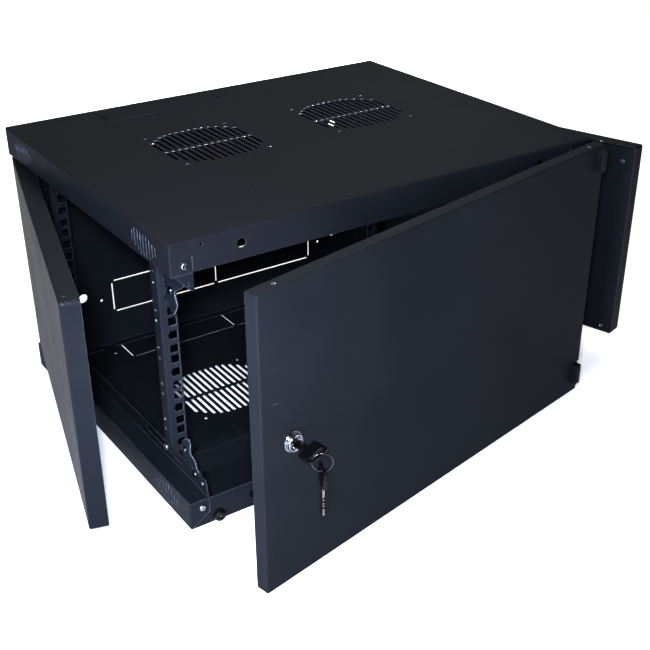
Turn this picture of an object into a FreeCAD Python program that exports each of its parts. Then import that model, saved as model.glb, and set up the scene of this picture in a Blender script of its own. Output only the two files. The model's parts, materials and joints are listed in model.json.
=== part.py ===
import FreeCAD, Part
import math
import os

# ---------------------------------------------------------------------------
# Wall mount network cabinet, six rack units, 540 wide, 430 deep body, 327 high.
# Millimetres.  +Z up, +X to the right, the front looks along -Y.
# Origin: centre of the body's underside.
# The door stands 11.9 degrees open, the side panels 14.5 and 16.5 degrees.
# ---------------------------------------------------------------------------
V = FreeCAD.Vector
os.makedirs("parts", exist_ok=True)

# body
W = 540.0            # outer width of the two trays
D = 430.0            # outer depth of the trays
H = 327.0            # outer height
T = 1.2              # sheet thickness
FLANGE = 33.0        # height of the trays' outer flanges
LEDGE = 23.0         # width of the side ledge
WEB = 19.0           # height of the side web above the ledge
BEND = 1.8           # outside bend radius
HX, HY = W / 2.0, D / 2.0
WEB_X = HX - LEDGE   # outer face of the side web, 247

# rack geometry
UNITS = 6
U = 44.45
Z_U1 = (H - UNITS * U) / 2.0     # bottom of the first unit
HOLE_X = 465.1 / 2.0             # mounting hole columns
HOLE_SQ = 9.5                    # square mounting hole
RAIL_T = 1.5
RAIL_IN = 226.0                  # inner edge of the rail face
RAIL_OUT = 245.7                 # outer face of the rail's side flange
RAIL_DEPTH = 16.0
RAIL_Y_FRONT = -129.7
RAIL_Y_REAR = 157.0

# ventilation
FAN_X, FAN_Y = 100.0, 22.0       # fan grille centre
FAN_SLOT = 4.4
FAN_PITCH = 8.3
FAN_RIB = 5.0
FAN_ENDS = [55.5, 55.4, 55.0, 52.6, 48.6, 41.8, 33.5]     # slot ends from the middle, outwards
FAN_BOLT = 105.0                 # hole spacing of a 120 mm fan
FAN_HOLE_R = 2.2

BUMPER_X, BUMPER_Z = 236.5, 7.4      # bumper hole in the front flanges

# cable knock-outs
KO_X = 158.0
KO_Y0, KO_Y1 = 162.0, 207.0      # in the trays
KO_Z0, KO_Z1 = 48.6, 93.9        # in the rear panel
KO_SLOT = 2.3
KO_BRIDGE = 3.0

# rear wall holes
WALL_X, WALL_Z0, WALL_Z1 = 201.0, 80.0, 247.0
WALL_R = 6.5

# door
DOOR_W = 539.0
DOOR_Z0, DOOR_Z1 = 2.0, 325.0
DOOR_Y0, DOOR_Y1 = -236.0, -221.0    # front face and back face when closed
DOOR_LIP = 12.0
DOOR_AX, DOOR_AY = 273.2, -228.0     # hinge axis
DOOR_OPEN = 11.9
HINGE_ZU, HINGE_ZL = 308.5, 30.0     # middles of the hinges, which are alike and face the same way
KNUCKLE_R = 3.0
PIN_R = 1.5
PIN_FIT = 0.05

# lock
LOCK_X, LOCK_Z = -231.5, 163.0
KEY_TILT = 15.6                      # the core and the key stand turned by this much
CORE_R = 6.0
CORE_FIT = 0.05

# side panels
PAN_T = 19.9
PAN_X = 269.9
PAN_Z0, PAN_Z1 = 35.0, 290.5
PAN_BEND = 3.2                       # bend between front wall and top or bottom wall
PAN_Y0, PAN_Y1 = -213.2, 211.0
PAN_AX, PAN_AY = 262.0, 203.0        # pivot axis (right side, mirrored left)
PAN_PIN_R = 2.5
PAN_LIP_F = 75.0
PAN_LIP_R = 18.0
LEFT_OPEN = 14.5
RIGHT_OPEN = 16.5
LATCH_X, LATCH_Y = 263.0, -202.0
LATCH_R = 2.5


# ------------------------------------------------------------------ helpers
def box(x0, x1, y0, y1, z0, z1):
    return Part.makeBox(x1 - x0, y1 - y0, z1 - z0, V(x0, y0, z0))


def cyl(r, p0, p1):
    a, b = V(*p0), V(*p1)
    return Part.makeCylinder(r, (b - a).Length, a, b - a)


def join(parts):
    s = parts[0]
    if len(parts) > 1:
        s = s.fuse(parts[1:])
    return s.removeSplitter()


def less(shape, tools):
    return shape.cut(tools) if tools else shape


def poly(pts):
    p = [V(*q) for q in pts]
    return Part.Face(Part.makePolygon(p + [p[0]]))


def prism_yz(pts, x0, x1):
    return poly([(x0, y, z) for y, z in pts]).extrude(V(x1 - x0, 0, 0))


def prism_xz(pts, y0, y1):
    return poly([(x, y0, z) for x, z in pts]).extrude(V(0, y1 - y0, 0))


def prism_xy(pts, z0, z1):
    return poly([(x, y, z0) for x, y in pts]).extrude(V(0, 0, z1 - z0))


def spline_yz(pts, x0, x1):
    c = Part.BSplineCurve()
    c.interpolate(Points=[V(x0, y, z) for y, z in pts], PeriodicFlag=True)
    return Part.Face(Part.Wire([c.toShape()])).extrude(V(x1 - x0, 0, 0))


def stadium(p, along, normal, length, width, depth):
    """Slot prism with round ends: centre p, long way along, cut way normal."""
    r = width / 2.0
    h = max(length / 2.0 - r, 0.01)
    a = V(*along).normalize()
    n = V(*normal).normalize()
    b = n.cross(a)
    c = V(*p) - n * (depth / 2.0)
    p1, p2 = c + a * h + b * r, c + a * h - b * r
    p3, p4 = c - a * h - b * r, c - a * h + b * r
    e = [Part.makeLine(p4, p1), Part.Arc(p1, c + a * (h + r), p2).toShape(),
         Part.makeLine(p2, p3), Part.Arc(p3, c - a * (h + r), p4).toShape()]
    return Part.Face(Part.Wire(e)).extrude(n * depth)


def round_where(shape, r, test):
    e = [k for k in shape.Edges if test(k)]
    return shape.makeFillet(r, e)


def edge_dir(e):
    a, b = e.Vertexes[0].Point, e.Vertexes[-1].Point
    d = b - a
    if d.Length < 1e-6:
        return (0, 0, 0)
    return (abs(d.x) / d.Length, abs(d.y) / d.Length, abs(d.z) / d.Length)


def place(shape, p, axis):
    """Shape modelled along +Z at the origin, moved so that +Z is axis at p."""
    s = shape.copy()
    s.Placement = FreeCAD.Placement(V(*p), FreeCAD.Rotation(V(0, 0, 1), V(*axis)))
    return s


def mirror_x(s):
    return s.mirror(V(0, 0, 0), V(1, 0, 0))


def mirror_z(s):
    return s.mirror(V(0, 0, H / 2.0), V(0, 0, 1))


def pan_screw(p, axis, r, length, head_r, head_h):
    """Pan head with a cross recess above p, shank below it."""
    head = Part.makeCylinder(head_r, head_h)
    head = round_where(head, head_h * 0.55, lambda e: e.BoundBox.ZMin > head_h - 0.01 and len(e.Vertexes) == 1)
    s = head.fuse(Part.makeCylinder(r, length, V(0, 0, -length)))
    d, w = head_h * 0.62, head_r * 0.22
    l = head_r * 0.62
    cr = [box(-l, l, -w / 2, w / 2, head_h - d, head_h + 1), box(-w / 2, w / 2, -l, l, head_h - d, head_h + 1)]
    return place(s.cut(cr).removeSplitter(), p, axis)


def hex_nut(p, axis, flats, h, bore):
    r = flats / math.sqrt(3.0)
    pts = [(r * math.cos(math.radians(60 * i)), r * math.sin(math.radians(60 * i)), 0) for i in range(6)]
    n = poly(pts).extrude(V(0, 0, h))
    cone = Part.makeCone(r * 1.25, r * 0.93, h * 0.999, V(0, 0, 0), V(0, 0, 1))
    n = n.common(cone).cut(Part.makeCylinder(bore, h + 2, V(0, 0, -1)))
    return place(n, p, axis)


def turned(shape, ax, ay, deg):
    s = shape.copy()
    s.rotate(V(ax, ay, 0), V(0, 0, 1), deg)
    return s


OUT = {}


def put(name, shape):
    OUT[name] = shape


# ------------------------------------------------------------------- trays
def knock_out_slots(c0, c1, make):
    """Outline slots of the two neighbouring rectangles; make(u0,u1,v0,v1)."""
    h, b = KO_SLOT / 2.0, KO_BRIDGE
    s = []
    for u0, u1 in ((-KO_X, 0.0), (0.0, KO_X)):
        for v in (c0, c1):
            s.append(make(u0 + b, u1 - b, v - h, v + h))
    for u in (-KO_X, 0.0, KO_X):
        s.append(make(u - h, u + h, c0 + b, c1 - b))
    return s


def fan_grille(cx, cy, z0, z1):
    zc, dz = (z0 + z1) / 2.0, (z1 - z0)
    s = []
    for k, end in enumerate(FAN_ENDS):
        dx = (k + 0.5) * FAN_PITCH
        y0, y1 = FAN_RIB / 2.0, end
        for sx in (1, -1):
            for sg in (1, -1):
                s.append(stadium((cx + sx * dx, cy + sg * (y0 + y1) / 2.0, zc), (0, 1, 0), (0, 0, 1), y1 - y0, FAN_SLOT, dz))
    for sx in (-1, 1):
        for sy in (-1, 1):
            s.append(cyl(FAN_HOLE_R, (cx + sx * FAN_BOLT / 2, cy + sy * FAN_BOLT / 2, z0), (cx + sx * FAN_BOLT / 2, cy + sy * FAN_BOLT / 2, z1)))
    return s


VENT_LO = [11.0, 7.4, 6.6, 7.0, 8.0, 8.2, 9.6, 11.6, 12.4]
VENT_HI = [22.8, 25.6, 28.2, 30.0, 30.8, 30.6, 29.0, 25.2, 22.2]


def side_vent(side, yc, flip):
    """Nine upright slots in a flange, as heights above the outer edge."""
    s = []
    for i in range(9):
        y = yc + (i - 4) * 6.3 * (-1 if not flip else 1)
        lo, hi = VENT_LO[i], VENT_HI[i]
        s.append(stadium((side * HX, y, (lo + hi) / 2.0), (0, 0, 1), (1, 0, 0), hi - lo, 2.8, 8.0))
    return s


def tray(mitre):
    """A tray, as the lower one; the upper one is turned over."""
    o = box(-HX, HX, -HY, HY, 0, FLANGE)
    o = round_where(o, BEND, lambda e: e.BoundBox.ZMax < 0.01 or edge_dir(e)[2] > 0.9)
    i = box(-HX + T, HX - T, -HY + T, HY - T, T, FLANGE + 10)
    i = round_where(i, BEND - T, lambda e: e.BoundBox.ZMax < T + 0.01 or edge_dir(e)[2] > 0.9)
    s = o.cut(i)
    tools = []
    tools += fan_grille(-FAN_X, FAN_Y, -1, T + 1) + fan_grille(FAN_X, FAN_Y, -1, T + 1)
    tools += knock_out_slots(KO_Y0, KO_Y1, lambda u0, u1, v0, v1: box(u0, u1, v0, v1, -1, T + 1))
    for sx in (-1, 1):
        tools.append(cyl(2.0, (sx * 175, 184.5, -1), (sx * 175, 184.5, T + 1)))
        tools += side_vent(sx, -161.0, False) + side_vent(sx, 163.0, True)
        # front flange holes: plug hole, bumper hole, corner screw hole
        for x, z, r in ((193.4, 16.4, 4.75), (BUMPER_X, BUMPER_Z, 1.5), (255.6, 24.3, 2.05)):
            tools.append(cyl(r, (sx * x, -HY - 1, z), (sx * x, -HY + T + 1, z)))
        if sx > 0:
            tools.append(cyl(2.05, (255.6, -HY - 1, 10.5), (255.6, -HY + T + 1, 10.5)))
        # open seam of the folded corner: upright, in the lower tray also mitred
        tools.append(box(min(sx * (WEB_X - 0.2), sx * (WEB_X + 0.2)), max(sx * (WEB_X - 0.2), sx * (WEB_X + 0.2)), -HY - 1, -HY + T + 0.2, 16.0, FLANGE + 1))
        if mitre:
            tools.append(prism_xz([(sx * (WEB_X + 0.15), 16.25), (sx * (WEB_X - 0.15), 15.85), (sx * (HX - 2.6), 2.0), (sx * (HX - 2.3), 2.4)], -HY - 1, -HY + T + 0.2))
    return less(s, tools)


put("bottom_panel", tray(True))
put("top_panel", mirror_z(tray(False)))

# ----------------------------------------------------------- side channels
def channel(top):
    """Left channel in the lower position: ledge, web, front screw tab."""
    x0, x1 = -HX + T, -WEB_X + T
    yf, yr = -HY + T, HY - T
    ledge = box(x0, x1, yf, yr, FLANGE - T, FLANGE)
    web = prism_yz([(yf, FLANGE - T), (yr, FLANGE - T), (yr, FLANGE + WEB), (-209.5, FLANGE + WEB), (-211.0, FLANGE + WEB - 3), (yf, FLANGE + 1)], -WEB_X, -WEB_X + T)
    tab = box(-266.0, -WEB_X + T, yf, yf + T, 13.5, FLANGE)
    s = join([ledge, web, tab])
    s = s.cut([box(x0 - 1, x0 + 0.7, yf - 1, yf + 0.7, 0, 80), box(x0 - 1, x0 + 0.7, yr - 0.7, yr + 1, 0, 80)])
    zc = 44.4
    tools = [stadium((-WEB_X + T / 2, -112.0, zc), (0, 1, 0), (1, 0, 0), 88.0, 5.4, 6.0),
             stadium((-WEB_X + T / 2, 163.0, zc), (0, 1, 0), (1, 0, 0), 60.0, 5.4, 6.0),
             cyl(2.1, (-WEB_X - 2, -202.6, 44.0), (-WEB_X + 4, -202.6, 44.0)),
             cyl(2.55, (-WEB_X - 2, -186.8, 47.3), (-WEB_X + 4, -186.8, 47.3)),
             cyl(2.0, (-255.6, yf - 1, 24.3), (-255.6, yf + T + 1, 24.3)),
             cyl(PAN_PIN_R + 0.05, (-PAN_AX, PAN_AY, FLANGE - T - 1), (-PAN_AX, PAN_AY, FLANGE + 1))]
    if top:
        tools.append(cyl(LATCH_R + 0.5, (-LATCH_X, LATCH_Y, FLANGE - T - 1), (-LATCH_X, LATCH_Y, FLANGE + 1)))
        # front gusset under the flange, bent round from the web
        g = prism_xz([(-WEB_X + T, FLANGE), (-HX + 3.5, FLANGE), (-HX + 3.5, FLANGE + 1.2), (-WEB_X - 4.0, FLANGE + WEB - 1.2), (-WEB_X - 1.5, FLANGE + WEB), (-WEB_X + T, FLANGE + WEB)], -HY, -HY + T)
        g = round_where(g, 1.1, lambda e: edge_dir(e)[2] > 0.9 and abs(e.CenterOfMass.x + WEB_X - T) < 0.01 and abs(e.CenterOfMass.y + HY) < 0.01)
        arm = box(-WEB_X, -WEB_X + T, -HY + T - 0.1, yf + 0.1, FLANGE, FLANGE + WEB)
        web_front = prism_yz([(yf, FLANGE), (-205.0, FLANGE), (-205.0, FLANGE + WEB), (yf, FLANGE + WEB)], -WEB_X, -WEB_X + T)
        strip = box(-HX + 1.5, -WEB_X + T, yf, yf + T, FLANGE, FLANGE + 1.2)
        s = join([s, g, arm, web_front, strip])
        tools.append(stadium((-253.4, -HY, 43.2), (0, 0, 1), (0, 1, 0), 6.0, 2.6, 6.0))
    return less(s, tools)


cl = channel(False)
put("bottom_left_channel", cl)
put("bottom_right_channel", mirror_x(cl))
ct = mirror_z(channel(True))
put("top_left_channel", ct)
put("top_right_channel", mirror_x(ct))


# -------------------------------------------------------------- rear panel
def rear_panel():
    yb = HY - T - 0.1
    xo = RAIL_OUT
    z0, z1 = T + 0.1, H - T - 0.1
    o = box(-xo, xo, yb - 20.0, yb, z0, z1)
    o = round_where(o, 1.5, lambda e: e.BoundBox.YMin > yb - 0.01)
    i = box(-xo + T, xo - T, yb - 25.0, yb - T, z0 + T, z1 - T)
    s = o.cut(i)
    # the lips along floor and roof are shorter than the side flanges
    tools = [box(-xo + 22, xo - 22, yb - 21, yb - 13, z0 - 1, z0 + T + 0.05), box(-xo + 22, xo - 22, yb - 21, yb - 13, z1 - T - 0.05, z1 + 1)]
    # clear the webs of the channels and the trays' knock-outs
    tools += knock_out_slots(KO_Z0, KO_Z1, lambda u0, u1, v0, v1: box(u0, u1, yb - T - 1, yb + 1, v0, v1))
    for sx in (-1, 1):
        tools.append(box(min(sx * 175 - 9, sx * 175 + 9), max(sx * 175 - 9, sx * 175 + 9), yb - 21, yb - T - 2, z0 - 1, z0 + T + 0.05))
        tools.append(cyl(2.0, (sx * 175, yb - 3, 69.5), (sx * 175, yb + 1, 69.5)))
        for z in (WALL_Z0, WALL_Z1):
            tools.append(cyl(WALL_R, (sx * WALL_X, yb - 5, z), (sx * WALL_X, yb + 1, z)))
        tools.append(cyl(7.5, (sx * (xo - 3), 204.0, 214.0), (sx * (xo + 3), 204.0, 214.0)))
        tools.append(cyl(2.0, (sx * (xo - 3), 200.0, 236.0), (sx * (xo + 3), 200.0, 236.0)))
    s = less(s, tools)
    rings = []
    for sx in (-1, 1):
        for z in (WALL_Z0, WALL_Z1):
            ring = Part.makeCone(12.0, 8.6, 1.6).cut(Part.makeCylinder(WALL_R, 4.0, V(0, 0, -1)))
            rings.append(place(ring, (sx * WALL_X, yb - T, z), (0, -1, 0)))
    return join([s] + rings)


put("rear_panel", rear_panel())


# ------------------------------------------------------------------- rails
def rail(yf):
    """Left rail: punched face, side flange turned back."""
    z0, z1 = Z_U1 - 0.5, Z_U1 + UNITS * U + 0.5
    prof = [(-RAIL_OUT, yf), (-RAIL_IN, yf), (-RAIL_IN, yf + RAIL_T), (-RAIL_OUT + RAIL_T, yf + RAIL_T),
            (-RAIL_OUT + RAIL_T, yf + RAIL_DEPTH), (-RAIL_OUT, yf + RAIL_DEPTH)]
    s = prism_xy(prof, z0, z1)
    s = round_where(s, 1.6, lambda e: edge_dir(e)[2] > 0.9 and abs(e.CenterOfMass.x + RAIL_OUT) < 0.01 and abs(e.CenterOfMass.y - yf) < 0.01)
    tools = []
    q = HOLE_SQ / 2.0
    for u in range(UNITS):
        for k, dz in enumerate((6.35, 22.225, 38.1)):
            z = Z_U1 + u * U + dz
            tools.append(box(-HOLE_X - q, -HOLE_X + q, yf - 1, yf + RAIL_T + 1, z - q, z + q))
            if k == 1:
                tools.append(prism_xz([(-HOLE_X - q + 0.01, z - 2.2), (-HOLE_X - q + 0.01, z + 2.2), (-HOLE_X - q - 1.9, z)], yf - 1, yf + RAIL_T + 1))
            else:
                tools.append(cyl(1.7, (-RAIL_OUT - 1, yf + 10.7, z), (-RAIL_OUT + RAIL_T + 1, yf + 10.7, z)))
    for z in (44.4, H - 44.4):
        tools.append(cyl(2.55, (-RAIL_OUT - 1, yf + 10.7, z), (-RAIL_OUT + RAIL_T + 1, yf + 10.7, z)))
    return less(s, tools)


rf = rail(RAIL_Y_FRONT)
rr = rail(RAIL_Y_REAR)
put("front_left_rail", rf)
put("front_right_rail", mirror_x(rf))
put("rear_left_rail", rr)
put("rear_right_rail", mirror_x(rr))

# ----------------------------------------------------- front cross members
zt = Z_U1 - 0.6
cm = join([box(-245.0, 245.0, RAIL_Y_FRONT, RAIL_Y_FRONT + T, T, zt),
           box(-245.0, 245.0, RAIL_Y_FRONT, RAIL_Y_FRONT + 14.0, zt - T, zt),
           box(-245.0, 245.0, RAIL_Y_FRONT, RAIL_Y_FRONT + 14.0, T, 2 * T)])
cm = round_where(cm, 1.6, lambda e: edge_dir(e)[0] > 0.9 and abs(e.CenterOfMass.z - zt) < 0.01 and abs(e.CenterOfMass.y - RAIL_Y_FRONT) < 0.01)
put("lower_cross_member", cm)
put("upper_cross_member", mirror_z(cm))

# ----------------------------------------------------- front catch brackets
bx0, bx1 = -RAIL_OUT, -RAIL_OUT + 1.5
top_b = spline_yz([(-198, 282), (-190, 290), (-172, 291.5), (-154, 290), (-150, 276), (-150.6, 262), (-150.4, 251), (-146.5, 244.5),
                   (-142.8, 238.5), (-145.5, 236), (-151.8, 238.6), (-154, 233.5), (-155.8, 228.2), (-160.5, 226.6), (-169.5, 235.0),
                   (-172.6, 242.0), (-169.4, 248.0), (-169.0, 253.5), (-177, 260), (-185.5, 265.5), (-193, 271)], bx0, bx1)
bot_b = spline_yz([(-173.6, 83.0), (-166, 80.5), (-160, 75), (-156.6, 68), (-155.0, 61), (-158, 54), (-161, 46), (-167, 38.5), (-180, 35.5),
                   (-193, 37.5), (-197.5, 45), (-194, 51), (-188.5, 54), (-186, 59), (-182.5, 63.2), (-176, 65.2), (-175.4, 71), (-176.6, 77)], bx0, bx1)
TB = [(-160.0, 253.0), (-186.8, H - 47.3)]
BB = [(-163.5, 65.0), (-186.8, 47.3)]
top_b = less(top_b, [cyl(2.55, (bx0 - 2, y, z), (bx1 + 2, y, z)) for y, z in TB])
bot_b = less(bot_b, [cyl(2.55, (bx0 - 2, y, z), (bx1 + 2, y, z)) for y, z in BB])
put("top_left_catch_bracket", top_b)
put("top_right_catch_bracket", mirror_x(top_b))
put("bottom_left_catch_bracket", bot_b)
put("bottom_right_catch_bracket", mirror_x(bot_b))

# --------------------------------------------------------------- fasteners
rs, rn, bs, bn, cs = [], [], [], [], []
for yf in (RAIL_Y_FRONT, RAIL_Y_REAR):
    for z in (44.4, H - 44.4):
        rs.append(pan_screw((-WEB_X, yf + 10.7, z), (-1, 0, 0), 2.5, 8.0, 4.3, 2.3))
        rn.append(hex_nut((-RAIL_OUT + RAIL_T, yf + 10.7, z), (1, 0, 0), 8.0, 4.0, 2.5))
for (y, z), off in ((TB[1], WEB_X), (BB[1], WEB_X), (TB[0], RAIL_OUT), (BB[0], RAIL_OUT)):
    collar = 3.0 if off == RAIL_OUT else 0.0
    bs.append(pan_screw((-off, y, z), (-1, 0, 0), 2.5, 8.6 + collar + (off - RAIL_OUT), 4.3, 2.3))
    nut = hex_nut((bx1 + collar, y, z), (1, 0, 0), 8.0, 5.0, 2.5)
    if collar:
        nut = join([nut, cyl(5.2, (bx1, y, z), (bx1 + collar, y, z)).cut(cyl(2.5, (bx1 - 1, y, z), (bx1 + 9, y, z)))])
    bn.append(nut)
for z in (24.3, H - 24.3):
    cs.append(pan_screw((-255.6, -HY, z), (0, -1, 0), 2.0, 9.0, 3.7, 2.3))
for n, g in (("rail_screws", rs), ("rail_nuts", rn), ("bracket_screws", bs), ("bracket_nuts", bn)):
    put(n, Part.makeCompound(g + [mirror_x(s) for s in g]))
put("corner_screws", Part.makeCompound(cs))
# on the right the corner screws, and one more each, hold the hinge leaves
HINGE_SCREW_Z = (10.5, 24.3, H - 24.3, H - 10.5)
put("hinge_screws", Part.makeCompound([pan_screw((255.6, -HY - 2.0, z), (0, -1, 0), 2.0, 7.0, 3.6, 1.5) for z in HINGE_SCREW_Z]))

# rubber bumper, pushed into the left bumper hole of the lower flange
bp = Part.makeCylinder(7.2, 1.6).fuse(Part.makeCone(7.2, 5.4, 4.2, V(0, 0, 1.6)))
bp = round_where(bp, 1.8, lambda e: e.BoundBox.ZMin > 5.7 and len(e.Vertexes) == 1)
bp = join([bp, Part.makeCylinder(1.5, T + 0.4, V(0, 0, -T - 0.4)), Part.makeCone(0.8, 2.6, 3.0, V(0, 0, -T - 3.0))])
bp = bp.cut(Part.makeCylinder(1.9, 3.2, V(0, 0, 3.2)))
put("door_bumper", place(bp, (-BUMPER_X, -HY, BUMPER_Z), (0, -1, 0)))

# ------------------------------------------------------------- door hinges
def frame_hinge(zc):
    foot = zc - 17.0 if zc > H / 2.0 else 4.0       # the lower leaf reaches down to its second screw
    leaf = box(250.0, 272.3, -HY - 2.0, -HY, foot, zc + 17.0)
    parts = [leaf]
    for a, b in ((zc - 17.0, zc - 9.4), (zc + 9.4, zc + 17.0)):
        parts.append(box(270.3, 272.3, DOOR_AY + 1.9, -HY, a, b))
        parts.append(cyl(KNUCKLE_R, (DOOR_AX, DOOR_AY, a), (DOOR_AX, DOOR_AY, b)))
    s = join(parts)
    tools = [cyl(PIN_R + PIN_FIT, (DOOR_AX, DOOR_AY, zc - 25), (DOOR_AX, DOOR_AY, zc + 25))]
    for z in HINGE_SCREW_Z:
        if abs(z - zc) < 20.0:
            tools.append(cyl(2.05, (255.6, -HY - 4, z), (255.6, -HY + 1, z)))
    return s.cut(tools)


def door_hinge(zc):
    z0, z1 = zc - 9.0, zc + 9.0
    bar = box(254.2, 262.8, DOOR_Y0 - 8.2, DOOR_Y0, zc - 13.0, zc + 13.0)
    bar = round_where(bar, 1.8, lambda e: abs(e.CenterOfMass.y - (DOOR_Y0 - 8.2)) < 0.01)
    neck = box(262.0, 267.0, DOOR_Y0 - 0.5, -226.5, z0, z1)
    plate = box(262.0, 272.2, -232.0, -226.5, z0, z1)
    tongue = box(240.0, 262.5, DOOR_Y0 + T, DOOR_Y0 + T + 3.0, z0, z1)
    s = join([bar, neck, plate, tongue, cyl(KNUCKLE_R, (DOOR_AX, DOOR_AY, z0), (DOOR_AX, DOOR_AY, z1))])
    return s.cut(cyl(PIN_R, (DOOR_AX, DOOR_AY, z0 - 1), (DOOR_AX, DOOR_AY, z1 + 1)))


def door_pin(zc):
    s = Part.makeCylinder(PIN_R, 35.0, V(DOOR_AX, DOOR_AY, zc - 17.5))
    return s


put("upper_frame_hinge", frame_hinge(HINGE_ZU))
put("lower_frame_hinge", frame_hinge(HINGE_ZL))

DOOR_NODES = {}
DOOR_NODES["upper_door_hinge"] = door_hinge(HINGE_ZU)
DOOR_NODES["lower_door_hinge"] = door_hinge(HINGE_ZL)
DOOR_NODES["door_hinge_pins"] = Part.makeCompound([door_pin(HINGE_ZU), door_pin(HINGE_ZL)])

# ---------------------------------------------------------------- door leaf
hw = DOOR_W / 2.0
o = box(-hw, hw, DOOR_Y0, DOOR_Y1, DOOR_Z0, DOOR_Z1)
o = round_where(o, BEND, lambda e: abs(e.BoundBox.YMax - DOOR_Y0) < 0.01 or edge_dir(e)[1] > 0.9)
i = box(-hw + T, hw - T, DOOR_Y0 + T, DOOR_Y1 - T, DOOR_Z0 + T, DOOR_Z1 - T)
i = round_where(i, BEND - T, lambda e: abs(e.BoundBox.YMax - (DOOR_Y0 + T)) < 0.01 or edge_dir(e)[1] > 0.9)
lw = box(-hw + DOOR_LIP, hw - DOOR_LIP, DOOR_Y1 - T - 1, DOOR_Y1 + 1, DOOR_Z0 + DOOR_LIP, DOOR_Z1 - DOOR_LIP)
leaf = o.cut([i, lw])
tools = [cyl(9.05, (LOCK_X, DOOR_Y0 - 1, LOCK_Z), (LOCK_X, DOOR_Y0 + T + 1, LOCK_Z))]
for zc in (HINGE_ZU, HINGE_ZL):
    tools.append(box(261.7, hw + 1, DOOR_Y0 - 1, DOOR_Y1 + 1, zc - 9.3, zc + 9.3))
    tools.append(box(263.8, hw + 1, DOOR_Y0 - 1, DOOR_Y1 + 1, zc - 14.4, zc + 14.4))
for x in (-hw + 27.5, hw - 23.0):
    tools.append(cyl(2.0, (x, DOOR_Y0 + 7.5, DOOR_Z0 - 1), (x, DOOR_Y0 + 7.5, DOOR_Z0 + T + 1)))
    tools.append(cyl(2.0, (x, DOOR_Y0 + 7.5, DOOR_Z1 - T - 1), (x, DOOR_Y0 + 7.5, DOOR_Z1 + 1)))
DOOR_NODES["door_leaf"] = less(leaf, tools)

# --------------------------------------------------------------------- lock
def along_y(r, y0, y1, x=LOCK_X, z=LOCK_Z):
    return cyl(r, (x, y0, z), (x, y1, z))


# stepped bezel with a funnel inside, as radius and height above the door
bezel = [(CORE_R - 1, 0), (11.0, 0), (11.0, 0.9), (10.6, 1.4), (10.1, 1.5), (10.1, 2.6), (9.8, 3.0), (9.3, 3.1), (9.3, 4.0),
         (9.1, 4.7), (8.7, 5.2), (8.2, 5.5), (7.8, 5.5), (7.2, 5.1), (6.5, 1.7), (CORE_R - 1, 1.7)]
ring = poly([(r, 0, h) for r, h in bezel]).revolve(V(0, 0, 0), V(0, 0, 1), 360)
barrel = join([place(ring, (LOCK_X, DOOR_Y0, LOCK_Z), (0, -1, 0)), along_y(9.0, DOOR_Y0 - 0.5, -210.2)])
barrel = barrel.cut(along_y(CORE_R + CORE_FIT, DOOR_Y0 - 7, -205))
DOOR_NODES["lock_barrel"] = barrel
DOOR_NODES["lock_nut"] = hex_nut((LOCK_X, DOOR_Y0 + T, LOCK_Z), (0, 1, 0), 24.0, 4.0, 9.0)

core = join([along_y(CORE_R, DOOR_Y0 - 1.5, -210.0), along_y(4.0, -210.5, -208.0)])
keyway = box(LOCK_X - 4.3, LOCK_X + 4.3, DOOR_Y0 - 5, -217.0, LOCK_Z - 1.15, LOCK_Z + 1.15)
keyway.rotate(V(LOCK_X, 0, LOCK_Z), V(0, 1, 0), -KEY_TILT)
core = core.cut([along_y(2.0, -216.0, -207.0), keyway])
DOOR_NODES["lock_core"] = core
cam = prism_xz([(LOCK_X - 7, LOCK_Z + 5), (LOCK_X - 5, LOCK_Z + 7), (LOCK_X + 5, LOCK_Z + 7), (LOCK_X + 7, LOCK_Z + 5),
                (LOCK_X + 7, LOCK_Z - 28), (LOCK_X + 3, LOCK_Z - 34), (LOCK_X - 3, LOCK_Z - 34), (LOCK_X - 7, LOCK_Z - 28)], -210.0, -208.0)
cam = cam.cut(along_y(4.0, -212, -206))
DOOR_NODES["lock_cam"] = cam
DOOR_NODES["cam_screw"] = pan_screw((LOCK_X, -208.0, LOCK_Z), (0, 1, 0), 2.0, 7.5, 5.2, 2.4)

# ------------------------------------------------------ keys and split ring
KEY_Y = DOOR_Y0 - 17.5               # inner end of the head, lock side
HEAD_L, HEAD_W = 18.5, 22.5
EYE_Z, EYE_W, EYE_L = 13.7, 4.6, 18.0    # oblong eye in the head
E = V(math.cos(math.radians(-45.0)), math.sin(math.radians(-45.0)), 0)   # ring plane, seen from above
M = V(E.y, -E.x, 0)
ES = V(math.cos(math.radians(-33.0)), math.sin(math.radians(-33.0)), 0)  # across the spare key
MS = V(ES.y, -ES.x, 0)


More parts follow.
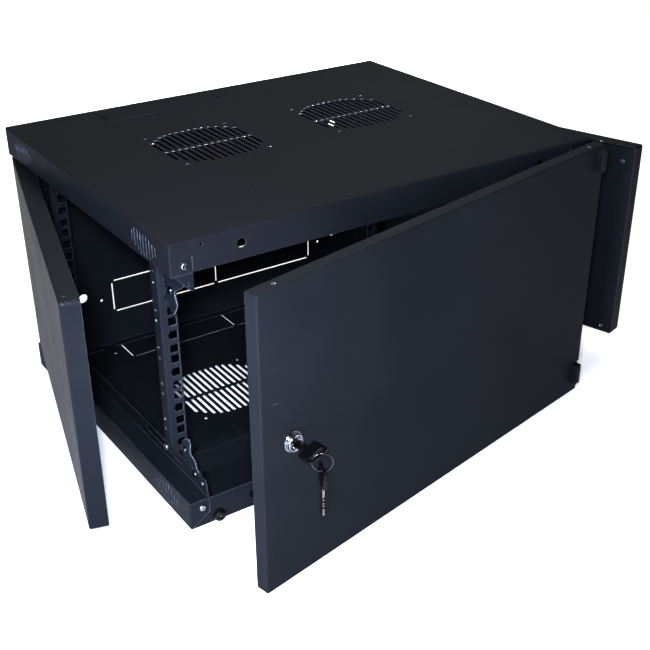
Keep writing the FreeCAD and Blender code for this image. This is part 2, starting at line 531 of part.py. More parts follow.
def key_blank(blade_len):
    """Key pointing along -Z from its head; the head's end is up, flat in XZ.
    The head's inner end is at z=0, its outer end at z=HEAD_L."""
    r = HEAD_W / 2.0
    thick = box(-r, r, -1.9, 1.9, 0, 10.8)
    thick = round_where(thick, 1.2, lambda e: edge_dir(e)[1] > 0.9 and e.CenterOfMass.z < 0.1)
    thick = round_where(thick, 0.5, lambda e: abs(abs(e.CenterOfMass.y) - 1.9) < 0.01 and e.CenterOfMass.z > 0.05 and e.CenterOfMass.z < 10.5)
    thin = box(-r, r, -1.1, 1.1, 10.0, HEAD_L)
    thin = round_where(thin, 3.0, lambda e: edge_dir(e)[1] > 0.9 and e.CenterOfMass.z > HEAD_L - 0.1)
    head = join([thick, thin])
    head = head.cut([stadium((0, 0, EYE_Z), (1, 0, 0), (0, 1, 0), EYE_L, EYE_W, 10.0),
                     box(-6.5, 6.5, 1.55, 3.0, 1.4, 9.4), box(-6.5, 6.5, -3.0, -1.55, 1.4, 9.4)])
    blade = join([box(-4.0, 4.0, -1.0, 1.0, -blade_len + 3, 6.0), prism_xz([(-4, -blade_len + 3), (4, -blade_len + 3), (1.2, -blade_len), (-1.2, -blade_len)], -1.0, 1.0)])
    # cuts of the bit and a groove along it
    cuts = []
    for z, d in ((-14.0, 1.2), (-17.5, 1.8), (-21.0, 0.9), (-24.5, 1.6)):
        cuts.append(prism_xz([(4.1, z - 1.4), (4.1, z + 1.4), (4.0 - d, z + 0.4), (4.0 - d, z - 0.4)], -2, 2))
        cuts.append(prism_xz([(-4.1, z - 1.4), (-4.1, z + 1.4), (-4.0 + d, z + 0.4), (-4.0 + d, z - 0.4)], -2, 2))
    cuts.append(box(-0.6, 0.6, 0.5, 2.0, -blade_len + 4, -1.0))
    blade = blade.cut(cuts)
    return head.cut(blade), blade


def set_key(shape, origin, xdir, ydir, zdir):
    m = FreeCAD.Matrix(xdir.x, ydir.x, zdir.x, origin.x, xdir.y, ydir.y, zdir.y, origin.y, xdir.z, ydir.z, zdir.z, origin.z, 0, 0, 0, 1)
    s = shape.copy()
    s.Placement = FreeCAD.Placement(m)
    return s


kh, kb = key_blank(36.0)
o1 = V(LOCK_X, KEY_Y, LOCK_Z)
KX = V(math.cos(math.radians(KEY_TILT)), 0, math.sin(math.radians(KEY_TILT)))
KZ = V(-KX.z, 0, KX.x)
DOOR_NODES["key_head"] = set_key(kh, o1, KX, KZ, V(0, -1, 0))
DOOR_NODES["key_blade"] = set_key(kb, o1, KX, KZ, V(0, -1, 0))

# the ring hangs on the bar between the eye and the end of the head
RING_R, WIRE_R = 9.3, 1.0
ring_c = V(LOCK_X + 1.0, DOOR_Y0 - 37.2, LOCK_Z - 6.0)
DOOR_NODES["key_ring"] = Part.makeTorus(RING_R, WIRE_R, ring_c, M)
wire = V(ring_c.x, ring_c.y, ring_c.z - RING_R)     # lowest point of the ring's wire
o2 = V(wire.x, wire.y, wire.z - 1.1 - EYE_Z)
DOOR_NODES["spare_key_head"] = set_key(kh, o2, MS, ES, V(0, 0, 1))
DOOR_NODES["spare_key_blade"] = set_key(kb, o2, MS, ES, V(0, 0, 1))

for n, s in DOOR_NODES.items():
    put(n, turned(s, DOOR_AX, DOOR_AY, DOOR_OPEN))


# -------------------------------------------------------------- side panels
def side_panel(with_cam_slot):
    """Right-hand panel, closed."""
    xo, xi = PAN_X, PAN_X - PAN_T
    o = box(xi, xo, PAN_Y0, PAN_Y1, PAN_Z0, PAN_Z1)
    o = round_where(o, PAN_BEND, lambda e: edge_dir(e)[0] > 0.9 and abs(e.CenterOfMass.y - PAN_Y0) < 0.01)
    o = round_where(o, BEND, lambda e: abs(e.BoundBox.XMin - xo) < 0.01 or (edge_dir(e)[0] > 0.9 and abs(e.CenterOfMass.y - PAN_Y1) < 0.01))
    i = box(xi + T, xo - T, PAN_Y0 + T, PAN_Y1 - T, PAN_Z0 + T, PAN_Z1 - T)
    i = round_where(i, PAN_BEND - T, lambda e: edge_dir(e)[0] > 0.9 and abs(e.CenterOfMass.y - PAN_Y0 - T) < 0.01)
    i = round_where(i, BEND - T, lambda e: abs(e.BoundBox.XMin - (xo - T)) < 0.01 or (edge_dir(e)[0] > 0.9 and abs(e.CenterOfMass.y - PAN_Y1 + T) < 0.01))
    mouth = box(xi - 1, xi + T + 1, PAN_Y0 + PAN_LIP_F, PAN_Y1 - PAN_LIP_R, PAN_Z0 + 9.0, PAN_Z1 - 9.0)
    s = o.cut([i, mouth])
    tools = []
    for z in (43.0, 271.0):
        tools.append(cyl(2.2, (xi - 1, -198.0, z), (xi + T + 1, -198.0, z)))
    for z0, z1 in ((PAN_Z0 - 1, PAN_Z0 + T + 1), (PAN_Z1 - T - 1, PAN_Z1 + 1)):
        tools.append(cyl(PAN_PIN_R, (PAN_AX, PAN_AY, z0), (PAN_AX, PAN_AY, z1)))
    tools.append(cyl(LATCH_R + 0.05, (LATCH_X, LATCH_Y, PAN_Z1 - T - 1), (LATCH_X, LATCH_Y, PAN_Z1 + 1)))
    # the front lip stops short of the top and bottom walls
    for z0, z1 in ((PAN_Z1 - T - 2.1, PAN_Z1 - T - 0.4), (PAN_Z0 + T + 0.4, PAN_Z0 + T + 2.1)):
        tools.append(box(xi - 1, xi + T, PAN_Y0 - 1, PAN_Y0 + PAN_LIP_F + 1, z0, z1))
    if with_cam_slot:
        tools.append(box(xi - 1, xi + T + 1, -211.6, -205.6, LOCK_Z - 9, LOCK_Z + 9))
    return less(s, tools)


def panel_pins():
    up = join([Part.makeCylinder(PAN_PIN_R, 298.0 - 284.0, V(PAN_AX, PAN_AY, 284.0)), Part.makeCylinder(4.2, 2.0, V(PAN_AX, PAN_AY, PAN_Z1 - T - 2.0))])
    dn = join([Part.makeCylinder(PAN_PIN_R, 42.0 - 29.0, V(PAN_AX, PAN_AY, 29.0)), Part.makeCylinder(4.2, 2.0, V(PAN_AX, PAN_AY, PAN_Z0 + T))])
    return Part.makeCompound([up, dn])


def latch_guide():
    """Small Z bracket on the panel's front wall that carries the bolt's foot."""
    x0, x1 = LATCH_X - 6.0, PAN_X - T
    s = join([box(x1 - T, x1, LATCH_Y - 8, LATCH_Y + 8, 256.0, 276.0), box(x0, x1, LATCH_Y - 8, LATCH_Y + 8, 266.0, 266.0 + T)])
    return s.cut(cyl(LATCH_R + 0.05, (LATCH_X, LATCH_Y, 260), (LATCH_X, LATCH_Y, 270)))


def latch_bolt():
    bolt = Part.makeCylinder(LATCH_R, 291.3 - 256.0, V(LATCH_X, LATCH_Y, 256.0))
    bolt = round_where(bolt, 0.7, lambda e: e.BoundBox.ZMin > 291.2 and len(e.Vertexes) == 1)
    s = join([bolt, Part.makeCylinder(3.6, 3.0, V(LATCH_X, LATCH_Y, 274.0)),
              cyl(1.6, (LATCH_X, LATCH_Y, 275.5), (PAN_X - PAN_T + 2.2, LATCH_Y, 275.5))])
    return s


for side, deg in (("left", -LEFT_OPEN), ("right", RIGHT_OPEN)):
    nodes = {side + "_panel_skin": side_panel(side == "left"), side + "_panel_pins": panel_pins(),
             side + "_latch_guide": latch_guide(), side + "_latch_bolt": latch_bolt()}
    sx = 1.0
    for n, s in nodes.items():
        if side == "left":
            s = mirror_x(s)
            put(n, turned(s, -PAN_AX, PAN_AY, deg))
        else:
            put(n, turned(s, PAN_AX, PAN_AY, deg))

for name, shape in OUT.items():
    shape.exportStep("parts/%s.step" % name)
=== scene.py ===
import bpy
import bmesh
import json
import math
from mathutils import Matrix, Vector


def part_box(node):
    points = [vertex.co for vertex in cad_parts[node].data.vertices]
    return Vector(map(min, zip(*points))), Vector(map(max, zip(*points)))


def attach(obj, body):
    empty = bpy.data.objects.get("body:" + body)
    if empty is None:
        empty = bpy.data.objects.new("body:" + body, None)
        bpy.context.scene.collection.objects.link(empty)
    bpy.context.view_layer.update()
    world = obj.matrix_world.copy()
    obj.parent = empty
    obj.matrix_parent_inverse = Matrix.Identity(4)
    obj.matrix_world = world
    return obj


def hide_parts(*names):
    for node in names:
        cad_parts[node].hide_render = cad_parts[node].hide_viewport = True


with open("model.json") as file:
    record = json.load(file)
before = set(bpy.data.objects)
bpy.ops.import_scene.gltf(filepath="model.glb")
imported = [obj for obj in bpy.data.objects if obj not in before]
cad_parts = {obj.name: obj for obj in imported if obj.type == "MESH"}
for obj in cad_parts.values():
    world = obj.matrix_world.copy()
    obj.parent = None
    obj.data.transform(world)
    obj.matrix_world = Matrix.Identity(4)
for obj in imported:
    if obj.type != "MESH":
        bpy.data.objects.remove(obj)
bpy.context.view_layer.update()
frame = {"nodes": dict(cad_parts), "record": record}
NODES = frame["nodes"]
scene = bpy.context.scene
scene.view_settings.view_transform = "Standard"
scene.view_settings.look = "High Contrast"

# ------------------------------------------------------------------ camera
cam_data = bpy.data.cameras.new("camera")
cam = bpy.data.objects.new("camera", cam_data)
scene.collection.objects.link(cam)
RIGHT = Vector((0.832541923, -0.553887670, -0.009077164))
UP = Vector((0.278622395, 0.404519081, 0.871053313))
BACK = Vector((-0.478793804, -0.727717502, 0.491104603))
EYE = Vector((-0.662109178, -1.057046132, 0.726119622))
cam.matrix_world = Matrix(((RIGHT.x, UP.x, BACK.x, EYE.x), (RIGHT.y, UP.y, BACK.y, EYE.y),
                           (RIGHT.z, UP.z, BACK.z, EYE.z), (0, 0, 0, 1)))
cam_data.sensor_fit = "HORIZONTAL"
cam_data.sensor_width = 36.0
cam_data.lens = 60.6563
cam_data.shift_x = 0.0111
cam_data.shift_y = 0.0505
cam_data.clip_start = 0.01
cam_data.clip_end = 60.0
scene.camera = cam


# ------------------------------------------------------------- node helpers
class Shader:
    """A material with a Principled shader and short ways to add nodes."""

    def __init__(self, name):
        self.mat = bpy.data.materials.new(name)
        self.mat.use_nodes = True
        self.nt = self.mat.node_tree
        self.nt.nodes.clear()
        self.out = self.nt.nodes.new("ShaderNodeOutputMaterial")
        self.bsdf = self.nt.nodes.new("ShaderNodeBsdfPrincipled")
        self.nt.links.new(self.bsdf.outputs[0], self.out.inputs["Surface"])
        self.coord = self.nt.nodes.new("ShaderNodeTexCoord").outputs["Object"]

    def set(self, **values):
        for k, v in values.items():
            self.bsdf.inputs[k.replace("_", " ")].default_value = v

    def link(self, a, b):
        self.nt.links.new(a, b)

    def stretch(self, sx, sy, sz, rot=(0, 0, 0)):
        m = self.nt.nodes.new("ShaderNodeMapping")
        m.inputs["Scale"].default_value = (sx, sy, sz)
        m.inputs["Rotation"].default_value = rot
        self.link(self.coord, m.inputs["Vector"])
        return m.outputs[0]

    def noise(self, scale, detail=2.0, rough=0.5, vector=None, distortion=0.0):
        n = self.nt.nodes.new("ShaderNodeTexNoise")
        n.inputs["Scale"].default_value = scale
        n.inputs["Detail"].default_value = detail
        n.inputs["Roughness"].default_value = rough
        n.inputs["Distortion"].default_value = distortion
        self.link(vector or self.coord, n.inputs["Vector"])
        return n.outputs["Fac"]

    def cells(self, scale, vector=None, randomness=1.0):
        n = self.nt.nodes.new("ShaderNodeTexVoronoi")
        n.inputs["Scale"].default_value = scale
        n.inputs["Randomness"].default_value = randomness
        self.link(vector or self.coord, n.inputs["Vector"])
        return n.outputs["Distance"], n.outputs["Color"]

    def ramp(self, value, low, high, to_low=0.0, to_high=1.0):
        n = self.nt.nodes.new("ShaderNodeMapRange")
        n.inputs["From Min"].default_value = low
        n.inputs["From Max"].default_value = high
        n.inputs["To Min"].default_value = to_low
        n.inputs["To Max"].default_value = to_high
        self.link(value, n.inputs["Value"])
        return n.outputs[0]

    def math(self, op, a, b=None):
        n = self.nt.nodes.new("ShaderNodeMath")
        n.operation = op
        for i, v in enumerate((a, b)):
            if v is None:
                continue
            if isinstance(v, (int, float)):
                n.inputs[i].default_value = v
            else:
                self.link(v, n.inputs[i])
        return n.outputs[0]

    def mix(self, fac, a, b, mode="MIX"):
        n = self.nt.nodes.new("ShaderNodeMix")
        n.data_type = "RGBA"
        n.blend_type = mode
        fac_in, a_in, b_in = n.inputs[0], n.inputs[6], n.inputs[7]
        for sock, v in ((fac_in, fac), (a_in, a), (b_in, b)):
            if isinstance(v, (int, float)):
                sock.default_value = v
            elif isinstance(v, tuple):
                sock.default_value = (*v, 1.0)
            else:
                self.link(v, sock)
        return n.outputs[2]

    def edges(self, radius, samples=4):
        """A rounded normal, and a mask that is 1 on sharp edges."""
        bev = self.nt.nodes.new("ShaderNodeBevel")
        bev.samples = samples
        bev.inputs["Radius"].default_value = radius
        geo = self.nt.nodes.new("ShaderNodeNewGeometry")
        dot = self.nt.nodes.new("ShaderNodeVectorMath")
        dot.operation = "DOT_PRODUCT"
        self.link(bev.outputs[0], dot.inputs[0])
        self.link(geo.outputs["Normal"], dot.inputs[1])
        mask = self.ramp(dot.outputs["Value"], 0.98, 0.72)
        return bev.outputs[0], mask

    def bump(self, height, strength, distance, normal=None):
        n = self.nt.nodes.new("ShaderNodeBump")
        n.inputs["Strength"].default_value = strength
        n.inputs["Distance"].default_value = distance
        self.link(height, n.inputs["Height"])
        if normal is not None:
            self.link(normal, n.inputs["Normal"])
        return n.outputs[0]


# ----------------------------------------------------------------- finishes
def powder_coat(name, dark, light, wear_and_highlight_colour, rough=(0.38, 0.50), spec=0.5, rubs_and_glints=(), rub_and_glint_gain=0.16):
    """Fine texture powder coat: pebbled, faintly mottled, with a little dust and a few scuffs.
    Sharp edges are painted lighter: painted highlight, partly edge wear.  rubs_and_glints are places
    (x, y, z, radius) in metres where the colour is painted lighter, for scuffs and for painted highlight."""
    s = Shader(name)
    pebble = s.noise(820.0, 3.0, 0.55)
    grain = s.noise(2600.0, 1.0, 0.5)
    mottle = s.noise(9.0, 4.0, 0.6)
    tone = s.math("ADD", s.math("MULTIPLY", mottle, 0.6), s.math("MULTIPLY", grain, 0.4))
    base = s.mix(s.ramp(tone, 0.35, 0.65), dark, light)
    # a few scuffs: long thin marks gathered in patches
    streak = s.noise(1.0, 3.0, 0.6, vector=s.stretch(35.0, 35.0, 420.0, (0.3, 0.2, 0.5)))
    patch = s.noise(6.0, 2.0, 0.5)
    scuff = s.math("MULTIPLY", s.ramp(streak, 0.66, 0.74), s.ramp(patch, 0.56, 0.66))
    base = s.mix(s.math("MULTIPLY", scuff, 0.14), base, wear_and_highlight_colour)
    # dust specks
    dist, col = s.cells(170.0)
    speck = s.math("MULTIPLY", s.ramp(dist, 0.085, 0.05), s.ramp(s.noise(38.0, 2.0, 0.5), 0.60, 0.66))
    base = s.mix(s.math("MULTIPLY", speck, 0.22), base, wear_and_highlight_colour)
    # spots painted lighter: rubbed scuffs on the roof, painted highlight along the left panel's top front bend
    for k, (x, y, z, r) in enumerate(rubs_and_glints):
        d = s.nt.nodes.new("ShaderNodeVectorMath")
        d.operation = "DISTANCE"
        s.link(s.coord, d.inputs[0])
        d.inputs[1].default_value = (x, y, z)
        near = s.ramp(d.outputs["Value"], r, 0.0)
        broken = s.ramp(s.noise(520.0 + 60.0 * k, 4.0, 0.7, distortion=0.6), 0.58, 0.70)
        base = s.mix(s.math("MULTIPLY", s.math("MULTIPLY", near, broken), rub_and_glint_gain), base, wear_and_highlight_colour)
    # painted highlight, partly edge wear: sharp edges painted lighter in patches, towards the wear and highlight
    # colour; below they are also made less rough
    normal, edge_wear_and_highlight = s.edges(0.0009)
    base = s.mix(s.math("MULTIPLY", edge_wear_and_highlight, s.ramp(s.noise(160.0, 3.0, 0.6), 0.35, 0.75, 0.25, 1.0)), base, wear_and_highlight_colour)
    s.link(base, s.bsdf.inputs["Base Color"])
    r = s.ramp(s.math("ADD", s.math("MULTIPLY", pebble, 0.5), s.math("MULTIPLY", mottle, 0.5)), 0.35, 0.65, rough[0], rough[1])
    r = s.math("SUBTRACT", r, s.math("MULTIPLY", scuff, 0.08))
    r = s.math("SUBTRACT", r, s.math("MULTIPLY", edge_wear_and_highlight, 0.10))
    s.link(r, s.bsdf.inputs["Roughness"])
    height = s.math("ADD", pebble, s.math("MULTIPLY", grain, 0.35))
    s.link(s.bump(height, 0.35, 0.00009, normal), s.bsdf.inputs["Normal"])
    s.set(Specular_IOR_Level=spec, IOR=1.10)
    return s.mat


def plated(name, dark, light, rough, brushed=None, scratch=0.25, edge_r=0.0003):
    """Plated or polished metal with handling marks."""
    s = Shader(name)
    cloud = s.noise(55.0, 4.0, 0.6)
    fine = s.noise(1.0, 2.0, 0.6, vector=s.stretch(*(brushed or (900.0, 900.0, 900.0))))
    base = s.mix(s.ramp(s.math("ADD", s.math("MULTIPLY", cloud, 0.6), s.math("MULTIPLY", fine, 0.4)), 0.35, 0.65), dark, light)
    normal, edge_wear_and_highlight = s.edges(edge_r)
    # painted highlight: sharp edges painted lighter than the metal
    base = s.mix(s.math("MULTIPLY", edge_wear_and_highlight, 0.45), base, tuple(min(1.0, c * 1.15) for c in light))
    s.link(base, s.bsdf.inputs["Base Color"])
    r = s.ramp(s.math("ADD", s.math("MULTIPLY", cloud, 0.5), s.math("MULTIPLY", fine, 0.5)), 0.35, 0.65, rough[0], rough[1])
    s.link(r, s.bsdf.inputs["Roughness"])
    line = s.noise(1.0, 1.0, 0.5, vector=s.stretch(300.0, 2600.0, 900.0, (0.5, 0.9, 0.2)))
    height = s.math("ADD", s.math("MULTIPLY", fine, 0.7), s.math("MULTIPLY", s.ramp(line, 0.62, 0.7), -0.6))
    s.link(s.bump(height, scratch, 0.00004, normal), s.bsdf.inputs["Normal"])
    s.set(Metallic=1.0)
    return s.mat


def turned(name, dark, light, rough):
    """Polished metal turned about the lock's axis, with fine rings."""
    s = Shader(name)
    turn = math.radians(11.9)
    d = s.nt.nodes.new("ShaderNodeVectorMath")
    d.operation = "SUBTRACT"
    s.link(s.coord, d.inputs[0])
    d.inputs[1].default_value = (0.2732 - 0.5047 * math.cos(turn) + 0.008 * math.sin(turn),
                                 -0.228 - 0.5047 * math.sin(turn) - 0.008 * math.cos(turn), 0.163)
    c = s.nt.nodes.new("ShaderNodeVectorMath")
    c.operation = "CROSS_PRODUCT"
    s.link(d.outputs[0], c.inputs[0])
    c.inputs[1].default_value = (math.sin(turn), -math.cos(turn), 0.0)
    n = s.nt.nodes.new("ShaderNodeVectorMath")
    n.operation = "LENGTH"
    s.link(c.outputs[0], n.inputs[0])
    rings = s.math("SINE", s.math("MULTIPLY", n.outputs["Value"], 9500.0))
    cloud = s.noise(140.0, 4.0, 0.6)
    fine = s.noise(1600.0, 2.0, 0.6)
    tone = s.math("ADD", s.math("MULTIPLY", cloud, 0.7), s.math("MULTIPLY", rings, 0.06))
    base = s.mix(s.ramp(tone, 0.22, 0.48), dark, light)
    normal, edge_wear_and_highlight = s.edges(0.0003)
    # painted highlight: sharp edges painted lighter than the metal
    base = s.mix(s.math("MULTIPLY", edge_wear_and_highlight, 0.5), base, tuple(min(1.0, 1.5 * v) for v in light))
    s.link(base, s.bsdf.inputs["Base Color"])
    s.link(s.ramp(s.math("ADD", s.math("MULTIPLY", cloud, 0.6), s.math("MULTIPLY", fine, 0.4)), 0.35, 0.65, rough[0], rough[1]), s.bsdf.inputs["Roughness"])
    s.link(s.bump(s.math("ADD", s.math("MULTIPLY", rings, 0.35), s.math("MULTIPLY", fine, 0.25)), 0.35, 0.00006, normal), s.bsdf.inputs["Normal"])
    s.set(Metallic=1.0)
    return s.mat


def moulded(name, dark, light, rough, grain_scale, strength, spec=0.5):
    """Black plastic, rubber or painted casting, with a moulded grain."""
    s = Shader(name)
    cloud = s.noise(70.0, 3.0, 0.55)
    grain = s.noise(grain_scale, 3.0, 0.6)
    base = s.mix(s.ramp(s.math("ADD", s.math("MULTIPLY", cloud, 0.65), s.math("MULTIPLY", grain, 0.35)), 0.35, 0.65), dark, light)
    normal, edge_wear_and_highlight = s.edges(0.0004)
    # painted highlight: sharp edges painted much lighter than the black
    base = s.mix(s.math("MULTIPLY", edge_wear_and_highlight, 0.5), base, tuple(c * 2.4 for c in light))
    s.link(base, s.bsdf.inputs["Base Color"])
    s.link(s.ramp(cloud, 0.35, 0.65, rough[0], rough[1]), s.bsdf.inputs["Roughness"])
    s.link(s.bump(grain, strength, 0.00006, normal), s.bsdf.inputs["Normal"])
    s.set(Specular_IOR_Level=spec, IOR=1.5)
    return s.mat


# the third colour serves scuffs and dust, and the painted highlight on the sharp edges
COAT_DARK, COAT_LIGHT, COAT_WEAR_AND_HIGHLIGHT = (0.0112, 0.0125, 0.0152), (0.0150, 0.0166, 0.0200), (0.170, 0.185, 0.225)
MATS = {
    "powder_coat": powder_coat("powder_coat_charcoal", COAT_DARK, COAT_LIGHT, COAT_WEAR_AND_HIGHLIGHT),
    # left panel: a bright edge colour and a row of bright spots along its top front bend, painted highlight
    "panel_coat_painted_highlight": powder_coat("powder_coat_panel_painted_highlight", COAT_DARK, COAT_LIGHT, (0.30, 0.31, 0.38), rub_and_glint_gain=0.85,
                              rubs_and_glints=((-0.3723, -0.1974, 0.2896, 0.0048), (-0.3674, -0.1987, 0.2896, 0.0048), (-0.3626, -0.1999, 0.2896, 0.0048), (-0.3573, -0.2013, 0.2896, 0.0048))),
    # rails: a lighter copy of the coat with brighter edges; the extra lightness is painted light
    "rail_coat_painted_light": powder_coat("powder_coat_rails_painted_light", (0.0160, 0.0182, 0.0224), (0.0212, 0.0238, 0.0290), (0.24, 0.26, 0.31)),
    "roof_coat": powder_coat("powder_coat_roof", (0.0120, 0.0131, 0.0154), (0.0158, 0.0172, 0.0202), COAT_WEAR_AND_HIGHLIGHT, spec=0.32,
                             rubs_and_glints=((-0.244, -0.2150, 0.3190, 0.016), (-0.236, -0.2150, 0.3100, 0.014), (-0.193, -0.2150, 0.3106, 0.010),
                                   (-0.200, -0.2120, 0.3270, 0.022), (-0.262, -0.2150, 0.2960, 0.009))),
    # catches: a near-white edge colour, painted highlight along their edges
    "catch_steel": powder_coat("catch_coat_painted_highlight", (0.010, 0.012, 0.016), (0.017, 0.020, 0.026), (0.66, 0.70, 0.80), rough=(0.26, 0.38), spec=0.5),
    "dull_zinc": plated("dull_zinc", (0.24, 0.25, 0.28), (0.44, 0.46, 0.50), (0.24, 0.38)),
    "zinc_screws": plated("zinc_plate", (0.52, 0.54, 0.58), (0.76, 0.78, 0.82), (0.22, 0.36)),
    "black_nuts": moulded("black_oxide", (0.0035, 0.0035, 0.0045), (0.0085, 0.0085, 0.0100), (0.26, 0.40), 900.0, 0.2, 0.16),
    "dark_screws": plated("black_chromate", (0.045, 0.047, 0.055), (0.13, 0.135, 0.15), (0.18, 0.32)),
    "brass_screw": plated("brass_screw", (0.45, 0.30, 0.16), (0.72, 0.52, 0.30), (0.18, 0.32)),
    "chrome_lock": turned("chrome", (0.19, 0.195, 0.22), (0.36, 0.37, 0.41), (0.12, 0.24)),
    "nickel": plated("nickel_plate", (0.11, 0.105, 0.10), (0.28, 0.27, 0.26), (0.16, 0.30)),
    "ring_steel": plated("ring_steel", (0.075, 0.075, 0.085), (0.21, 0.21, 0.23), (0.10, 0.20), scratch=0.3),
    "plain_steel": plated("zinc_steel", (0.40, 0.41, 0.43), (0.60, 0.61, 0.63), (0.28, 0.45)),
    "key_plastic": moulded("key_plastic", (0.0026, 0.0026, 0.0030), (0.0058, 0.0058, 0.0062), (0.16, 0.26), 1500.0, 0.25, 0.22),
    "black_hinge": moulded("hinge_coat", (0.0055, 0.0060, 0.0075), (0.0095, 0.0102, 0.0125), (0.34, 0.48), 1100.0, 0.4, 0.08),
    "bumper_rubber": moulded("bumper_rubber", (0.0030, 0.0030, 0.0032), (0.0075, 0.0075, 0.0080), (0.26, 0.40), 700.0, 0.3, 0.16),
    # the two materials below colour the painted highlight glints
    "soft_glint": plated("soft_glint", (0.11, 0.12, 0.15), (0.21, 0.23, 0.28), (0.34, 0.50)),
    "bright_glint": plated("bright_glint", (0.45, 0.48, 0.54), (0.70, 0.74, 0.80), (0.20, 0.34)),
}

OVER = {"top_panel": "roof_coat", "corner_screws": "dull_zinc", "rail_screws": "dull_zinc", "door_hinge_pins": "dull_zinc", "left_panel_skin": "panel_coat_painted_highlight", "bracket_screws": "dark_screws",
        "front_left_rail": "rail_coat_painted_light", "front_right_rail": "rail_coat_painted_light", "rear_left_rail": "rail_coat_painted_light", "rear_right_rail": "rail_coat_painted_light"}
SLOT_OF = {p["node"]: p.get("material_slot") for p in frame["record"]["subparts"]}
for name, obj in NODES.items():
    mat = MATS[OVER.get(name, SLOT_OF[name])]
    for i in range(max(1, len(obj.material_slots))):
        if i < len(obj.material_slots):
            obj.material_slots[i].material = mat
        else:
            obj.data.materials.append(mat)


# ------------------------------------------------------------- added pieces
def add_piece(name, bm, mat, smooth=True):
    mesh = bpy.data.meshes.new(name)
    bm.normal_update()
    bm.to_mesh(mesh)
    bm.free()
    if smooth:
        for p in mesh.polygons:
            p.use_smooth = True
    mesh.materials.append(MATS[mat])
    obj = bpy.data.objects.new(name, mesh)
    scene.collection.objects.link(obj)
    return obj


def tube(bm, points, radius, closed, sides=10, taper=1.0):
    """Round tube along points; open ends are closed with small domes."""
    n = len(points)
    rings = []
    side = None
    for i, p in enumerate(points):
        a = points[(i - 1) % n] if (closed or i > 0) else p
        b = points[(i + 1) % n] if (closed or i < n - 1) else p
        t = (b - a).normalized()
        if side is None:
            side = t.orthogonal().normalized()
        side = (side - t * side.dot(t)).normalized()
        up = t.cross(side)
        rings.append([bm.verts.new(p + (side * math.cos(2 * math.pi * k / sides) + up * math.sin(2 * math.pi * k / sides)) * radius) for k in range(sides)])
    for i in range(n if closed else n - 1):
        r0, r1 = rings[i], rings[(i + 1) % n]
        for k in range(sides):
            bm.faces.new((r0[k], r0[(k + 1) % sides], r1[(k + 1) % sides], r1[k]))
    if not closed:
        for r, p, q in ((rings[0], points[0], points[1]), (rings[-1], points[-1], points[-2])):
            tip = bm.verts.new(p + (p - q).normalized() * radius * 0.6)
            for k in range(sides):
                bm.faces.new((r[k], r[(k + 1) % sides], tip))
    bmesh.ops.recalc_face_normals(bm, faces=bm.faces)


# the split ring: two coils of round wire side by side, with the free ends
# stepped over each other, inside the outline of the plain ring
lo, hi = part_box("key_ring")
lo, hi = Vector(lo), Vector(hi)
RC = (lo + hi) / 2
R_OUT = (hi.z - lo.z) / 2
TURN = math.radians(11.9)
E_DIR = Vector((math.cos(math.radians(-45.0) + TURN), math.sin(math.radians(-45.0) + TURN), 0.0))
M_DIR = Vector((E_DIR.y, -E_DIR.x, 0.0))
WIRE = 0.00052
bm = bmesh.new()
pts = []
N = 168
for i in range(N + 1):
    t = i / N
    ang = math.radians(62.0) + t * math.radians(2 * 360.0 - 14.0)
    # mostly flat coils, the step between them is short
    step = min(1.0, max(0.0, (t - 0.44) / 0.12))
    step = step * step * (3 - 2 * step)
    off = (-0.47 + 0.94 * step) * 0.001
    r = R_OUT - WIRE - 0.00004
    pts.append(RC + E_DIR * (r * math.cos(ang)) + Vector((0, 0, r * math.sin(ang))) + M_DIR * off)
tube(bm, pts, WIRE, False, 12)
split_ring = add_piece("split_ring_coils", bm, "ring_steel")
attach(split_ring, "key_ring")
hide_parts("key_ring")

# painted highlight: small bright rings and half rings on the edges of the punched holes and slots, where the
# edges catch the light
bm = bmesh.new()


def glint_ring(centre, normal, radius, wire=0.00028, half=None):
    """A round painted highlight ring in the plane of normal; with half, only that side of it."""
    n = Vector(normal).normalized()
    if half is None:
        a = n.orthogonal().normalized()
        b = n.cross(a)
        c = Vector(centre)
        tube(bm, [c + (a * math.cos(2 * math.pi * k / 14) + b * math.sin(2 * math.pi * k / 14)) * radius for k in range(14)], wire, True, 6)
        return
    a = Vector(half).normalized()
    b = n.cross(a)
    c = Vector(centre)
    pts = [c + (a * math.cos(t) + b * math.sin(t)) * radius for t in [math.radians(-78 + 156 * k / 8) for k in range(9)]]
    tube(bm, pts, wire, False, 6)


U = 0.04445
Z1 = (0.327 - 6 * U) / 2
for y0 in (-0.1297, 0.157):
    for sx in (-1, 1):
        for u in range(6):
            for dz in (0.00635, 0.0381):
                glint_ring((sx * 0.2457, y0 + 0.0107, Z1 + u * U + dz), (1, 0, 0), 0.0017)
for sx in (-1, 1):
    for z in (0.0440, 0.283):
        glint_ring((sx * 0.247, -0.2026, z), (1, 0, 0), 0.0021)
FAN_ENDS = [0.0555, 0.0554, 0.0550, 0.0526, 0.0486, 0.0418, 0.0335]
for z, dz in ((0.327, -0.00044), (0.0, 0.00112)):
    for f in (-1, 1):
        for sx in (-1, 1):
            for sy in (-1, 1):
                glint_ring((f * 0.1 + sx * 0.0525, 0.022 + sy * 0.0525, z + dz), (0, 0, 1), 0.0021, 0.0003, (-0.3, 1, 0))
            for k, end in enumerate(FAN_ENDS):
                x = f * 0.1 + sx * (k + 0.5) * 0.0083
                glint_ring((x, 0.022 + end - 0.0022, z + dz), (0, 0, 1), 0.00205, 0.0004, (0, 1, 0))
                glint_ring((x, 0.022 - 0.0025 - 0.0022, z + dz), (0, 0, 1), 0.00205, 0.0004, (0, 1, 0))
hole_glints = add_piece("hole_glints", bm, "bright_glint")
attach(hole_glints, "cabinet")

